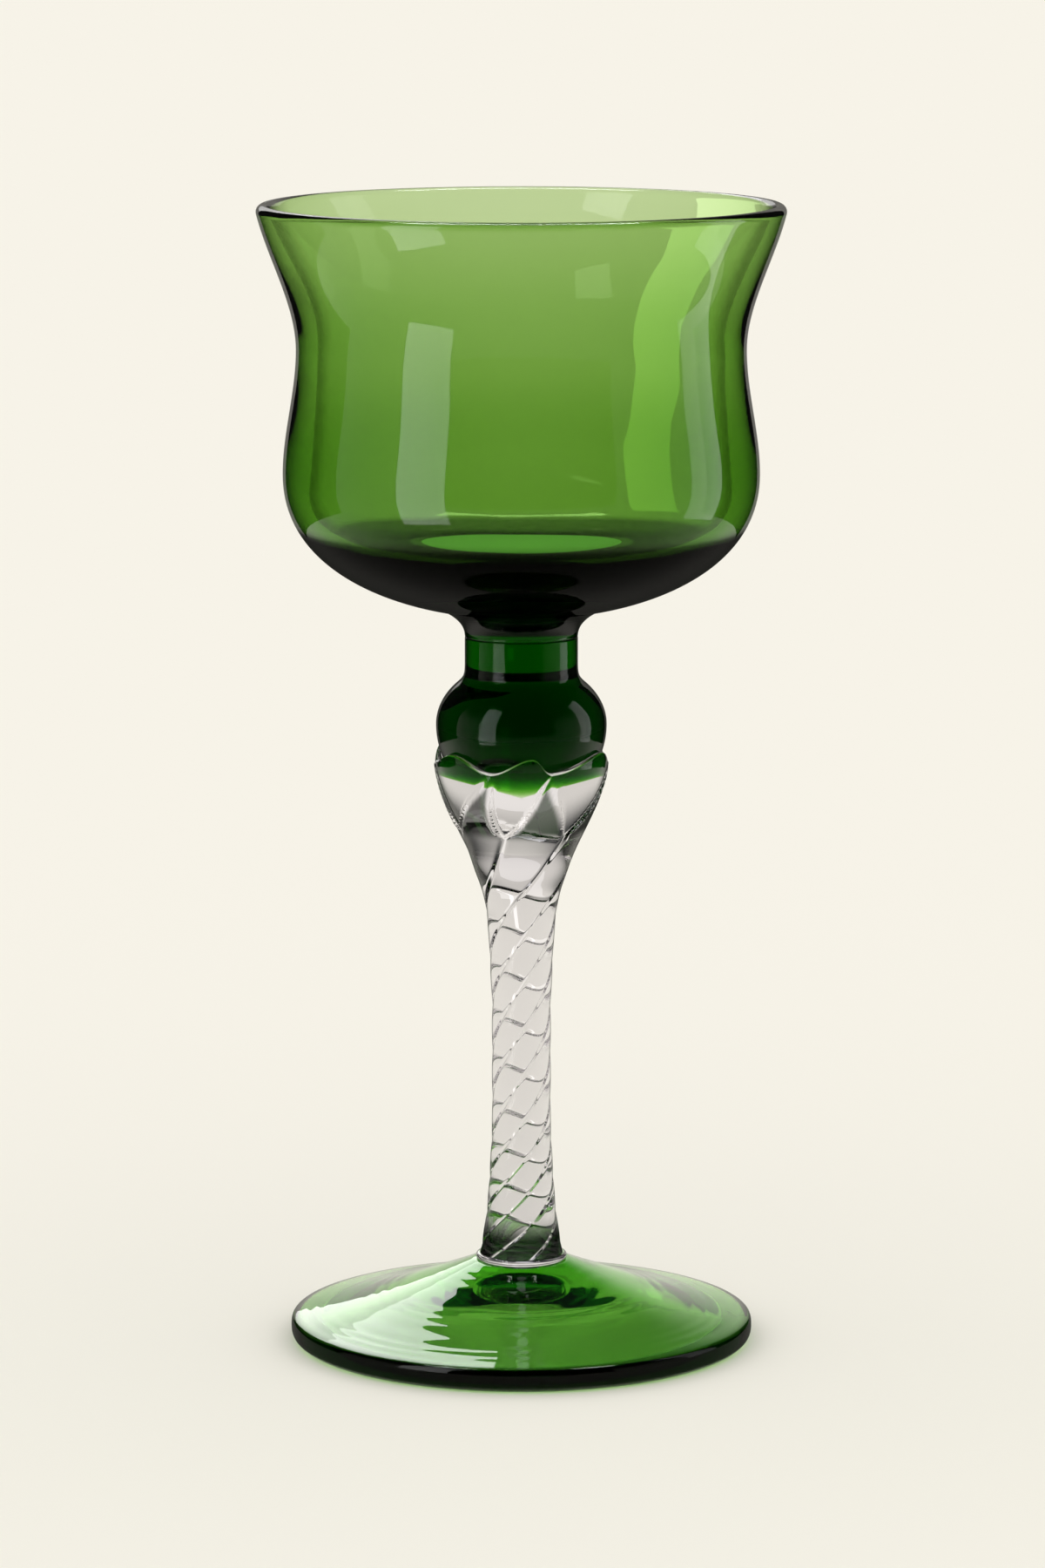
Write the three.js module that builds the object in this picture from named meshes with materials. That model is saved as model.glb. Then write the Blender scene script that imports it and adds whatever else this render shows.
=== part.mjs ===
// A hand-made wine goblet of coloured and clear glass, standing upright.
// Seven pieces of glass are stacked and joined while hot: foot, foot collar, twisted stem,
// six-petalled calyx, ball knop with its neck, flared wafer and bowl.
// Millimetres, +Z up, -Y is the front, and the origin is on the table under the middle of the foot.
import * as THREE from "three";

// Foot: a low cone with a rounded rim, ground flat underneath along a ring
const FOOT_RADIUS = 40.66;
const FOOT_HEIGHT = 14.26;
const FOOT_RIM_THICKNESS = 4.3;
const FOOT_SEAT_RADIUS = 8.4;
const FOOT_RIM_SLOPE = 11;
const FOOT_SEAT_SLOPE = 23;
const RESTING_RING_INSIDE = 34.5;
const FOOT_HOLLOW_DEPTH = 7.5;

// Foot collar: the thin ring of clear glass between foot and stem
const COLLAR_RADIUS = 8.0;
const COLLAR_HEIGHT = 1.04;

// Stem: six ribs twisted to the right, a straight shank that flares at both ends
const STEM_LENGTH = 72.9;
const STEM_BASE_RADIUS = 7.3;
const SHANK_RADIUS = 5.18;
const STEM_TOP_RADIUS = 9.9;
const RIB_COUNT = 6;
const GROOVE_DEPTH = 0.34;

// Calyx: a cup of six petals, one for each groove of the stem
const CALYX_HEIGHT = 17.3;
const CALYX_RADIUS = 15.5;
const PETAL_SCALLOP_DEPTH = 2.5;
const PETAL_RECESS = 0.35;
const PETAL_EDGE = 0.3;
const PETAL_AZIMUTH = 7.7;
const LEAF_POINT_HEIGHT = 2.8;
const LEAF_FULLNESS = 0.6;

// Knop: a ball under a short round neck, seated in the calyx
const BALL_RADIUS = 14.87;
const BALL_UPPER_HEIGHT = 11;
const BALL_CENTRE_ABOVE_SEAT = 13.1;
const NECK_RADIUS = 9.84;
const KNOP_HEIGHT = 28.5;
const SHOULDER_HEIGHT = 3.8;
const CUP_FLOOR_HEIGHT = 8.3;
const BALL_CLEARANCE = 0.3;

// Wafer: the flared disc that carries the bowl
const WAFER_RADIUS = 14.2;
const WAFER_HEIGHT = 4.9;

// Bowl: full belly, narrow waist and flared lip with a thickened rim
const BOWL_HEIGHT = 70.1;
const BELLY_RADIUS = 41.3;
const BELLY_HEIGHT = 23.4;
const WAIST_RADIUS = 38.9;
const WAIST_HEIGHT = 45.1;
const LIP_RADIUS = 45.67;
const LIP_FLARE = 14;
const RIM_BEAD_RADIUS = 1.25;
const WAIST_WALL = 3.6;
const BELLY_WALL = 4.8;
const BOWL_FLOOR_THICKNESS = 10.3;
const FLOOR_CORNER_HEIGHT = 14.8;
const FLOOR_DISC_RADIUS = 17.4;

// Facets
const BOWL_COLUMNS = 56;
const FOOT_COLUMNS = 56;
const KNOP_COLUMNS = 40;
const COLUMNS_PER_RIB = 6;
const COLUMNS_PER_PETAL = 10;
const STEM_ROW_HEIGHT = 2;
const CURVE_STEP = 5;
const FEWEST_CURVE_STEPS = 3;
const ARC_SAG = 0.08;

// Where each piece starts, from the table up
const COLLAR_Z = FOOT_HEIGHT;
const STEM_Z = COLLAR_Z + COLLAR_HEIGHT;
const CALYX_Z = STEM_Z + STEM_LENGTH;
const KNOP_Z = CALYX_Z + CUP_FLOOR_HEIGHT;
const WAFER_Z = KNOP_Z + KNOP_HEIGHT;
const BOWL_Z = WAFER_Z + WAFER_HEIGHT;
const CALYX_TOP_Z = CALYX_Z + CALYX_HEIGHT;

// The stem's flare along its length: share of the length, and share of the way from shank to end radius
const BASE_FLARE = [[0, 1], [0.037, 0.79], [0.071, 0.6], [0.119, 0.4], [0.174, 0.26], [0.257, 0.1], [0.34, 0]];
const TOP_FLARE = [[0.6, 0], [0.7, 0.065], [0.78, 0.127], [0.833, 0.205], [0.89, 0.365], [0.942, 0.66], [1, 1]];

// Rate of twist, in degrees for a whole stem length: fast at the foot, almost straight in the petals
const TWIST = [
  [STEM_Z, 787],
  [STEM_Z + 0.24 * STEM_LENGTH, 656],
  [STEM_Z + 0.37 * STEM_LENGTH, 532],
  [STEM_Z + 0.89 * STEM_LENGTH, 525],
  [STEM_Z + 0.955 * STEM_LENGTH, 306],
  [CALYX_Z + LEAF_POINT_HEIGHT, 128],
  [CALYX_TOP_Z, 117],
];

const greenGlass = new THREE.MeshStandardMaterial({ color: 0x4c9a35, roughness: 0.05, metalness: 0 });
const clearGlass = new THREE.MeshStandardMaterial({ color: 0xdfe3de, roughness: 0.05, metalness: 0 });

function degrees(angle) {
  return THREE.MathUtils.degToRad(angle);
}

// The value at x on the straight lines between [x, value] stations
function along(stations, x) {
  const last = stations[stations.length - 1];
  if (x <= stations[0][0]) return stations[0][1];
  if (x >= last[0]) return last[1];
  const next = stations.findIndex(([at]) => at >= x);
  const [x0, y0] = stations[next - 1];
  const [x1, y1] = stations[next];
  return y0 + ((y1 - y0) * (x - x0)) / (x1 - x0);
}

// The azimuth of a groove at a height: the twist summed downwards from the petal tips
function grooveAzimuth(z) {
  const heights = [z, ...TWIST.map(([at]) => at).filter((at) => at > z)];
  let turned = 0;
  for (let i = 1; i < heights.length; i += 1) {
    const mean = (along(TWIST, heights[i - 1]) + along(TWIST, heights[i])) / 2;
    turned += (mean * (heights[i] - heights[i - 1])) / STEM_LENGTH;
  }
  return degrees(PETAL_AZIMUTH - turned);
}

// How far a point lies from the nearest groove: 0 in a groove, 1 on the crest of a rib
function fromGroove(column, columnsPerRib) {
  const share = (column % columnsPerRib) / columnsPerRib;
  return 1 - Math.abs(1 - 2 * share);
}

// Points along a path: one step on a line, steps of even length on a curve, steps of even sag on an arc
function facets(path) {
  const points = [path.getPoint(0)];
  for (const curve of path.curves) {
    let steps = Math.max(FEWEST_CURVE_STEPS, Math.ceil(curve.getLength() / CURVE_STEP));
    if (curve.isLineCurve) steps = 1;
    if (curve.isEllipseCurve) {
      const sweep = Math.abs(curve.aEndAngle - curve.aStartAngle);
      steps = Math.ceil(sweep / (2 * Math.acos(1 - ARC_SAG / curve.xRadius)));
    }
    const last = points[points.length - 1];
    points.push(...curve.getPoints(steps).filter((point) => point.distanceTo(last) > 1e-6));
  }
  return points;
}

// A turned solid about Z
function turned(path, columns) {
  return new THREE.LatheGeometry(facets(path), columns).rotateX(Math.PI / 2);
}

// A turned solid whose every vertex is then moved: shape gives azimuth, radius and height for a point
function moulded(outline, columns, shape) {
  const geometry = new THREE.LatheGeometry(outline, columns);
  const position = geometry.getAttribute("position");
  for (let column = 0; column <= columns; column += 1) {
    outline.forEach((point, row) => {
      const { azimuth, radius, height } = shape(column % columns, point, row);
      const x = radius * Math.sin(azimuth);
      const z = radius * Math.cos(azimuth);
      position.setXYZ(column * outline.length + row, x, height, z);
    });
  }
  return geometry.rotateX(Math.PI / 2);
}

function placed(name, geometry, material, z) {
  const mesh = new THREE.Mesh(geometry, material);
  mesh.name = name;
  mesh.position.z = z;
  return mesh;
}

function foot() {
  const rim = FOOT_RIM_THICKNESS / 2;
  const rimCentre = FOOT_RADIUS - rim;
  const slope = degrees(FOOT_RIM_SLOPE);
  const seatSlope = degrees(FOOT_SEAT_SLOPE);
  const edge = new THREE.Vector2(rimCentre + rim * Math.sin(slope), rim + rim * Math.cos(slope));
  const reach = (edge.x - FOOT_SEAT_RADIUS) / 3;
  const outline = new THREE.Path()
    .moveTo(0, FOOT_HOLLOW_DEPTH)
    .bezierCurveTo(
      RESTING_RING_INSIDE * 0.4, FOOT_HOLLOW_DEPTH,
      RESTING_RING_INSIDE * 0.8, FOOT_HOLLOW_DEPTH * 0.25,
      RESTING_RING_INSIDE, 0,
    )
    .lineTo(rimCentre, 0)
    .absarc(rimCentre, rim, rim, -Math.PI / 2, 0)
    .absarc(rimCentre, rim, rim, 0, Math.PI / 2 - slope)
    .bezierCurveTo(
      edge.x - reach, edge.y + reach * Math.tan(slope),
      FOOT_SEAT_RADIUS + reach, FOOT_HEIGHT - reach * Math.tan(seatSlope),
      FOOT_SEAT_RADIUS, FOOT_HEIGHT,
    )
    .lineTo(0, FOOT_HEIGHT);
  return placed("foot", turned(outline, FOOT_COLUMNS), greenGlass, 0);
}

function footCollar() {
  const edge = COLLAR_HEIGHT / 2;
  const outline = new THREE.Path()
    .moveTo(0, 0)
    .lineTo(COLLAR_RADIUS - edge, 0)
    .absarc(COLLAR_RADIUS - edge, edge, edge, -Math.PI / 2, 0)
    .absarc(COLLAR_RADIUS - edge, edge, edge, 0, Math.PI / 2)
    .lineTo(0, COLLAR_HEIGHT);
  return placed("foot_collar", turned(outline, KNOP_COLUMNS), clearGlass, COLLAR_Z);
}

function stemRadius(height) {
  const share = height / STEM_LENGTH;
  const base = along(BASE_FLARE, share) * (STEM_BASE_RADIUS - SHANK_RADIUS);
  const top = along(TOP_FLARE, share) * (STEM_TOP_RADIUS - SHANK_RADIUS);
  return SHANK_RADIUS + (share < 0.5 ? base : top);
}

// The drop from the crests of the ribs into a groove
function grooveDrop(distance) {
  return GROOVE_DEPTH * (1 - distance) ** 2;
}

function stem() {
  const rows = Math.round(STEM_LENGTH / STEM_ROW_HEIGHT);
  const outline = [new THREE.Vector2(0, 0)];
  for (let row = 0; row <= rows; row += 1) {
    const height = (row / rows) * STEM_LENGTH;
    outline.push(new THREE.Vector2(stemRadius(height), height));
  }
  outline.push(new THREE.Vector2(0, STEM_LENGTH));
  const columns = RIB_COUNT * COLUMNS_PER_RIB;
  const geometry = moulded(outline, columns, (column, point) => ({
    azimuth: (column / columns) * 2 * Math.PI + grooveAzimuth(STEM_Z + point.y),
    radius: point.x && point.x - grooveDrop(fromGroove(column, COLUMNS_PER_RIB)),
    height: point.y,
  }));
  return placed("stem", geometry, clearGlass, STEM_Z);
}

// Radius of the calyx outside, from its base up to the widest part of the petals
function calyxCurve() {
  return new THREE.CubicBezierCurve(
    new THREE.Vector2(STEM_TOP_RADIUS, 0),
    new THREE.Vector2(STEM_TOP_RADIUS + CALYX_HEIGHT * 0.133, CALYX_HEIGHT * 0.295),
    new THREE.Vector2(CALYX_RADIUS, CALYX_HEIGHT * 0.61),
    new THREE.Vector2(CALYX_RADIUS * 0.987, CALYX_HEIGHT),
  );
}

// Radius of the cup inside at a height above the calyx's base: the ball with its clearance round it
function cupRadius(height) {
  const below = CUP_FLOOR_HEIGHT + BALL_CENTRE_ABOVE_SEAT - height;
  return Math.sqrt((BALL_RADIUS + BALL_CLEARANCE) ** 2 - below ** 2);
}

function calyx() {
  const outside = calyxCurve().getPoints(8);
  const cupRows = 4;
  const outline = [new THREE.Vector2(0, 0), ...outside];
  outline.push(new THREE.Vector2(0, CALYX_HEIGHT + PETAL_EDGE));
  const lip = outline.length - 1;
  for (let row = 0; row <= cupRows; row += 1) {
    const height = CALYX_HEIGHT - (row / cupRows) * (CALYX_HEIGHT - CUP_FLOOR_HEIGHT);
    outline.push(new THREE.Vector2(cupRadius(height), height));
  }
  outline.push(new THREE.Vector2(0, CUP_FLOOR_HEIGHT));
  const columns = RIB_COUNT * COLUMNS_PER_PETAL;
  const stations = outside.map((point) => [point.y, point.x]);
  const geometry = moulded(outline, columns, (column, point, row) => {
    const distance = fromGroove(column, COLUMNS_PER_PETAL);
    const top = CALYX_HEIGHT - PETAL_EDGE - PETAL_SCALLOP_DEPTH * distance ** 2;
    const floor = row > lip ? CUP_FLOOR_HEIGHT : 0;
    const rise = (point.y - floor) / (CALYX_HEIGHT - floor);
    const height = row === lip ? top + PETAL_EDGE : floor + rise * (top - floor);
    const azimuth = (column / columns) * 2 * Math.PI + grooveAzimuth(CALYX_Z + height);
    const leafHeight = CALYX_HEIGHT - PETAL_SCALLOP_DEPTH - LEAF_POINT_HEIGHT;
    const rising = THREE.MathUtils.clamp((height - LEAF_POINT_HEIGHT) / leafHeight, 0, 1);
    const inLeaf = THREE.MathUtils.smoothstep(rising ** LEAF_FULLNESS - distance, 0, 0.25);
    const closing = 1 - rising;
    const drop = Math.max(grooveDrop(distance), PETAL_RECESS * inLeaf) * closing;
    const outer = along(stations, height) - drop;
    let radius = 0;
    if (row === lip) radius = (outer + cupRadius(height)) / 2;
    else if (row > lip && point.x) radius = cupRadius(height);
    else if (point.x) radius = outer;
    return { azimuth, radius, height };
  });
  return placed("calyx", geometry, clearGlass, CALYX_Z);
}

function knop() {
  const centre = BALL_CENTRE_ABOVE_SEAT;
  const seatRadius = Math.sqrt(BALL_RADIUS ** 2 - centre ** 2);
  const shoulder = degrees(42);
  const shoulderRadius = BALL_RADIUS * Math.cos(shoulder);
  const shoulderHeight = centre + BALL_UPPER_HEIGHT * Math.sin(shoulder);
  const outline = new THREE.Path()
    .moveTo(0, 0)
    .lineTo(seatRadius, 0)
    .absarc(0, centre, BALL_RADIUS, -Math.asin(centre / BALL_RADIUS), 0)
    .absellipse(0, centre, BALL_RADIUS, BALL_UPPER_HEIGHT, 0, shoulder)
    .bezierCurveTo(
      shoulderRadius - SHOULDER_HEIGHT * 0.29, shoulderHeight + SHOULDER_HEIGHT * 0.26,
      NECK_RADIUS, shoulderHeight + SHOULDER_HEIGHT * 0.37,
      NECK_RADIUS, shoulderHeight + SHOULDER_HEIGHT,
    )
    .lineTo(NECK_RADIUS, KNOP_HEIGHT)
    .lineTo(0, KNOP_HEIGHT);
  return placed("knop", turned(outline, KNOP_COLUMNS), greenGlass, KNOP_Z);
}

function wafer() {
  const outline = new THREE.Path()
    .moveTo(0, 0)
    .lineTo(NECK_RADIUS, 0)
    .bezierCurveTo(
      NECK_RADIUS * 1.01, WAFER_HEIGHT * 0.45,
      NECK_RADIUS + (WAFER_RADIUS - NECK_RADIUS) * 0.4, WAFER_HEIGHT * 0.75,
      WAFER_RADIUS, WAFER_HEIGHT,
    )
    .lineTo(0, WAFER_HEIGHT);
  return placed("bowl_wafer", turned(outline, KNOP_COLUMNS), greenGlass, WAFER_Z);
}

function bowl() {
  const beadCentre = new THREE.Vector2(LIP_RADIUS - RIM_BEAD_RADIUS, BOWL_HEIGHT - RIM_BEAD_RADIUS);
  const flare = degrees(LIP_FLARE);
  const lip = new THREE.Vector2(
    beadCentre.x + RIM_BEAD_RADIUS * Math.cos(flare),
    beadCentre.y - RIM_BEAD_RADIUS * Math.sin(flare),
  );
  const lipInside = beadCentre.x - RIM_BEAD_RADIUS;
  const spread = BELLY_RADIUS - WAFER_RADIUS;
  const lowerThird = (WAIST_HEIGHT - BELLY_HEIGHT) / 3;
  const upperThird = (lip.y - WAIST_HEIGHT) / 3;
  const bellyInside = BELLY_RADIUS - BELLY_WALL;
  const waistInside = WAIST_RADIUS - WAIST_WALL;
  const cornerTop = BOWL_FLOOR_THICKNESS + FLOOR_CORNER_HEIGHT;
  const insideThird = (WAIST_HEIGHT - cornerTop) / 3;
  const outline = new THREE.Path()
    .moveTo(0, 0)
    .lineTo(WAFER_RADIUS, 0)
    .bezierCurveTo(
      WAFER_RADIUS + spread * 0.226, BELLY_HEIGHT * 0.042,
      BELLY_RADIUS, BELLY_HEIGHT * 0.255,
      BELLY_RADIUS, BELLY_HEIGHT,
    )
    .bezierCurveTo(
      BELLY_RADIUS, BELLY_HEIGHT + lowerThird,
      WAIST_RADIUS, WAIST_HEIGHT - lowerThird,
      WAIST_RADIUS, WAIST_HEIGHT,
    )
    .bezierCurveTo(
      WAIST_RADIUS, WAIST_HEIGHT + upperThird,
      lip.x - upperThird * Math.tan(flare), lip.y - upperThird,
      lip.x, lip.y,
    )
    .absarc(beadCentre.x, beadCentre.y, RIM_BEAD_RADIUS, -flare, 0)
    .absarc(beadCentre.x, beadCentre.y, RIM_BEAD_RADIUS, 0, Math.PI / 2)
    .absarc(beadCentre.x, beadCentre.y, RIM_BEAD_RADIUS, Math.PI / 2, Math.PI)
    .bezierCurveTo(
      lipInside - upperThird * Math.tan(flare), beadCentre.y - upperThird,
      waistInside, WAIST_HEIGHT + upperThird,
      waistInside, WAIST_HEIGHT,
    )
    .bezierCurveTo(
      waistInside, WAIST_HEIGHT - insideThird,
      bellyInside, cornerTop + insideThird,
      bellyInside, cornerTop,
    )
    .bezierCurveTo(
      bellyInside, BOWL_FLOOR_THICKNESS + FLOOR_CORNER_HEIGHT * 0.35,
      FLOOR_DISC_RADIUS + (bellyInside - FLOOR_DISC_RADIUS) * 0.6, BOWL_FLOOR_THICKNESS,
      FLOOR_DISC_RADIUS, BOWL_FLOOR_THICKNESS,
    )
    .lineTo(0, BOWL_FLOOR_THICKNESS);
  return placed("bowl", turned(outline, BOWL_COLUMNS), greenGlass, BOWL_Z);
}

const goblet = new THREE.Group();
goblet.add(foot(), footCollar(), stem(), calyx(), knop(), wafer(), bowl());

export default goblet;
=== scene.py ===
"""A hand-made goblet of green and clear glass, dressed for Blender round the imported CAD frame.

Seven pieces of glass stand on each other: foot, foot collar, twisted stem, six-petalled calyx,
ball knop with its neck, flared wafer and bowl. Lengths are typed in millimetres and modelled in
metres. +Z is up, -Y is the front, and azimuth 0 is the front with +X at azimuth 90.
"""
import math

import bpy
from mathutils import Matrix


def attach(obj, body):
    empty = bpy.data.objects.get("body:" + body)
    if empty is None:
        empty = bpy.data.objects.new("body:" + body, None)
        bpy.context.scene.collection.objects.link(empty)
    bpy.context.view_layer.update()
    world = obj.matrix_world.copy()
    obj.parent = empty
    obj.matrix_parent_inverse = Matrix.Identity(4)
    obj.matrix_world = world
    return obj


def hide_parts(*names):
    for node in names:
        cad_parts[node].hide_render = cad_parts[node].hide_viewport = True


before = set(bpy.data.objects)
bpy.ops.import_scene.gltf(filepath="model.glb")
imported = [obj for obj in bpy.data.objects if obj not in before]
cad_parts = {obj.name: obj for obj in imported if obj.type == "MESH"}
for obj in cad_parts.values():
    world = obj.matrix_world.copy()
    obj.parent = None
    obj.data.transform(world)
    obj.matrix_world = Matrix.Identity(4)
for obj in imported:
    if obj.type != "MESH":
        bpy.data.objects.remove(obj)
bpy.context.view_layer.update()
bpy.ops.object.select_all(action="DESELECT")

MM = 0.001
MERGE_DISTANCE = 0.0005

# Heights of the joints between the pieces, and the hair's breadths that keep their faces apart
FOOT_TOP = 14.26
COLLAR_TOP = 15.3
STEM_TOP = 88.2
NECK_TOP = 125.0
WAFER_TOP = 129.9
RIM_TOP = 200.0
JOINT_GAP = 0.005
CUP_GAP = 0.02

# Foot: its rim is a chain of curves from the ground ring up to the crease round the top
FOOT_SEAT_RADIUS = 8.4
FOOT_HOLLOW_DEPTH = 7.5
FOOT_THINNEST = 2.5
RING_INSIDE = 34.5
RING_OUTSIDE = 38.7
FOOT_RIM = [
    ((38.7, 0), (39.5, 0.05), (40.2, 0.6), (40.4, 1.1)),
    ((40.4, 1.1), (40.66, 1.6), (40.66, 2.2), (40.66, 2.7)),
    ((40.66, 2.7), (40.66, 3.5), (40.5, 4.15), (39.9, 4.3)),
]
FOOT_RIM_SLOPE = 11
FOOT_SEAT_SLOPE = 23
FOOT_COLUMNS = 216
RIPPLE_HEIGHT = 0.013
RIPPLE_LENGTH = 3.0
RIPPLE_WANDER = 1.7
RIPPLE_FULL_FROM = 12
RIPPLE_FADE_AT_RIM = 3
COLLAR_RADIUS = 8.0

# Stem: six ribs, with a broad hollow and a narrow score between them
RIBS = 6
STEM_BASE_RADIUS = 7.3
SHANK_RADIUS = 5.18
STEM_TOP_RADIUS = 9.9
GROOVE_DEPTH = 0.42
HOLLOW_SHARE = 0.45
SCORE_SHARE = 0.75
SCORE_WIDTH = 0.09
RIB_COLUMNS = 36
STEM_ROWS = 150
STEM_BLANK_RADIUS = 10

# Calyx: six petals round a cup, and a raised outline round the leaf on each of them
CALYX_HEIGHT = 17.3
CALYX_RADIUS = 15.5
CALYX_BASE_OUT = 0.133
CALYX_BASE_UP = 0.295
CALYX_TOP_UP = 0.61
CALYX_DRAWN_IN = 0.2
CALYX_LIP = 0.3
PETAL_SCALLOP_DEPTH = 2.5
PETAL_AZIMUTH = 7.7
LEAF_POINT_HEIGHT = 2.8
LEAF_FULLNESS = 0.6
LEAF_RECESS = 0.7
LEAF_RECESS_EDGE = 0.1
LEAF_RIDGE = 0.28
LEAF_RIDGE_PLACE = 0.03
LEAF_RIDGE_WIDTH = 0.055
LEAF_RIDGE_START = 1.5
LEAF_THINNING = 0.8
CALYX_ROWS = 84
CALYX_BLANK_RADIUS = 20
CUP_BLANK_RADIUS = 16

# Knop
BALL_RADIUS = 14.87
BALL_UPPER_HEIGHT = 11.0
BALL_CENTRE_Z = 109.6
BALL_SHOULDER_ANGLE = 42
NECK_RADIUS = 9.84
NECK_ROUND = 0.25
BALL_POINT_Z = 98.7
BALL_CORNER_Z = 102.35
BALL_BOTTOM_ROUNDNESS = 0.8
KNOP_COLUMNS = 160

# Wafer and bowl
WAFER_RADIUS = 14.2
BELLY_RADIUS = 41.3
BELLY_Z = 153.3
WAIST_RADIUS = 38.9
WAIST_Z = 175.0
LIP_RADIUS = 45.67
LIP_FLARE = 14
RIM_BEAD_RADIUS = 1.25
WAIST_WALL = 3.6
BELLY_WALL = 4.8
BOWL_FLOOR_Z = 139.75
FLOOR_DISC_RADIUS = 19.2
FLOOR_CORNER_Z = 152.0
BOWL_COLUMNS = 192

# Painted shade on thick glass: where light enters it, a dark see-through coat is laid over the glass,
# darker than its absorption alone makes it. Each piece says how dark the painted shade gets there,
# and between which heights, radii or distances it fades in, the clear end first.
FOOT_RIM_PAINTED_SHADE = 0.85
FOOT_RIM_DARK_BELOW = (4.6, 3.9)
FOOT_RIM_DARK_ABOVE = (0.7, 1.1)
STEM_PAINTED_SHADE = 0.97
STEM_DARK_BELOW = (23, 18.5)
STEM_DARK_BESIDE_SCORE = (0.04, 0.16)
CALYX_PAINTED_SHADE = 0.8
CALYX_DARK_OUTSIDE_LEAF = (0.06, 0.2)
CALYX_DARK_ABOVE = (2, 4)
BOWL_PAINTED_SHADE = 0.88
BOWL_DARK_BELOW = (145.2, 143.6)
# Painted shade in a ring round the bright floor disc inside the bowl
DISC_EDGE_PAINTED_SHADE = 0.6
DISC_EDGE_DARK_FROM = (FLOOR_DISC_RADIUS, FLOOR_DISC_RADIUS + 1)
DISC_EDGE_DARK_TO = (33.5, 31.5)
DISC_EDGE_TOP = 144


# Outlines are lists of (radius, height) in millimetres

def bezier(start, first, second, end, steps):
    """Points on a cubic curve, without its start."""
    points = []
    for i in range(1, steps + 1):
        t = i / steps
        u = 1 - t
        weights = (u ** 3, 3 * u * u * t, 3 * u * t * t, t ** 3)
        points.append(tuple(
            sum(w * p[k] for w, p in zip(weights, (start, first, second, end))) for k in (0, 1)
        ))
    return points


def arc(centre, radius, start, end, steps, height=None):
    """Points on a circle or ellipse between two angles in degrees, with its start."""
    height = radius if height is None else height
    points = []
    for i in range(steps + 1):
        a = math.radians(start + (end - start) * i / steps)
        points.append((centre[0] + radius * math.cos(a), centre[1] + height * math.sin(a)))
    return points


def line(start, end, steps):
    """Points on a straight line, without its start."""
    return [
        (start[0] + (end[0] - start[0]) * i / steps, start[1] + (end[1] - start[1]) * i / steps)
        for i in range(1, steps + 1)
    ]


def along(stations, x):
    """The value at x on the straight lines between (x, value) stations."""
    if x <= stations[0][0]:
        return stations[0][1]
    for (x0, y0), (x1, y1) in zip(stations, stations[1:]):
        if x <= x1:
            return y0 + (y1 - y0) * (x - x0) / (x1 - x0)
    return stations[-1][1]


def smoothstep(x, low, high):
    """0 at low and 1 at high, which may be the smaller one."""
    t = min(max((x - low) / (high - low), 0), 1)
    return t * t * (3 - 2 * t)


def smooth_line(stations, end_slope=None, count=60):
    """The stations with a smooth curve run through them, as many short straight lines."""
    xs = [x for x, _ in stations]
    ys = [y for _, y in stations]
    slopes = [(ys[1] - ys[0]) / (xs[1] - xs[0])]
    for i in range(1, len(xs) - 1):
        before = (ys[i] - ys[i - 1]) / (xs[i] - xs[i - 1])
        after = (ys[i + 1] - ys[i]) / (xs[i + 1] - xs[i])
        slopes.append((before + after) / 2)
    slopes.append((ys[-1] - ys[-2]) / (xs[-1] - xs[-2]))
    if ys[0] == 0:
        slopes[0] = 0
    if ys[-1] == 0:
        slopes[-1] = 0
    if end_slope is not None:
        slopes[-1] = end_slope
    fine = []
    steps = count // (len(xs) - 1)
    for i in range(len(xs) - 1):
        width = xs[i + 1] - xs[i]
        for k in range(steps):
            t = k / steps
            h00, h10 = 2 * t ** 3 - 3 * t * t + 1, t ** 3 - 2 * t * t + t
            h01, h11 = -2 * t ** 3 + 3 * t * t, t ** 3 - t * t
            y = h00 * ys[i] + h10 * width * slopes[i] + h01 * ys[i + 1] + h11 * width * slopes[i + 1]
            fine.append((xs[i] + t * width, y))
    return fine + [stations[-1]]


# Solids of revolution, and the hand that shapes them further

def spun(name, outline, columns):
    """Extrudes a vertex along the outline and spins the line about Z into a closed solid."""
    bpy.ops.object.select_all(action="DESELECT")
    first = outline[0]
    bpy.ops.mesh.primitive_plane_add(size=MM, location=(first[0] * MM, 0, first[1] * MM))
    piece = bpy.context.object
    piece.name = piece.data.name = name
    bpy.ops.object.mode_set(mode="EDIT")
    bpy.ops.mesh.merge(type="CENTER")
    for (r0, z0), (r1, z1) in zip(outline, outline[1:]):
        step = ((r1 - r0) * MM, 0, (z1 - z0) * MM)
        bpy.ops.mesh.extrude_vertices_move(TRANSFORM_OT_translate={"value": step})
    bpy.ops.mesh.select_all(action="SELECT")
    bpy.ops.mesh.spin(steps=columns, angle=2 * math.pi, center=(0, 0, 0), axis=(0, 0, 1))
    bpy.ops.mesh.select_all(action="SELECT")
    bpy.ops.mesh.remove_doubles(threshold=MERGE_DISTANCE * MM)
    bpy.ops.mesh.normals_make_consistent(inside=False)
    bpy.ops.object.mode_set(mode="OBJECT")
    bpy.ops.object.transform_apply(location=True, rotation=True, scale=True)
    return piece


def smoothed(piece, angle):
    """Shades the piece smooth, apart from edges that turn by more than the angle in degrees."""
    bpy.ops.object.select_all(action="DESELECT")
    piece.select_set(True)
    bpy.context.view_layer.objects.active = piece
    bpy.ops.object.shade_smooth_by_angle(angle=math.radians(angle))
    return piece


def marked(piece, name, share):
    """Gives every vertex a number that the finish reads: share takes its azimuth, radius and height."""
    layer = piece.data.attributes.new(name, "FLOAT", "POINT")
    for vertex in piece.data.vertices:
        x, y, z = (c / MM for c in vertex.co)
        layer.data[vertex.index].value = share(math.degrees(math.atan2(x, -y)), math.hypot(x, y), z)
    return piece


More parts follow.
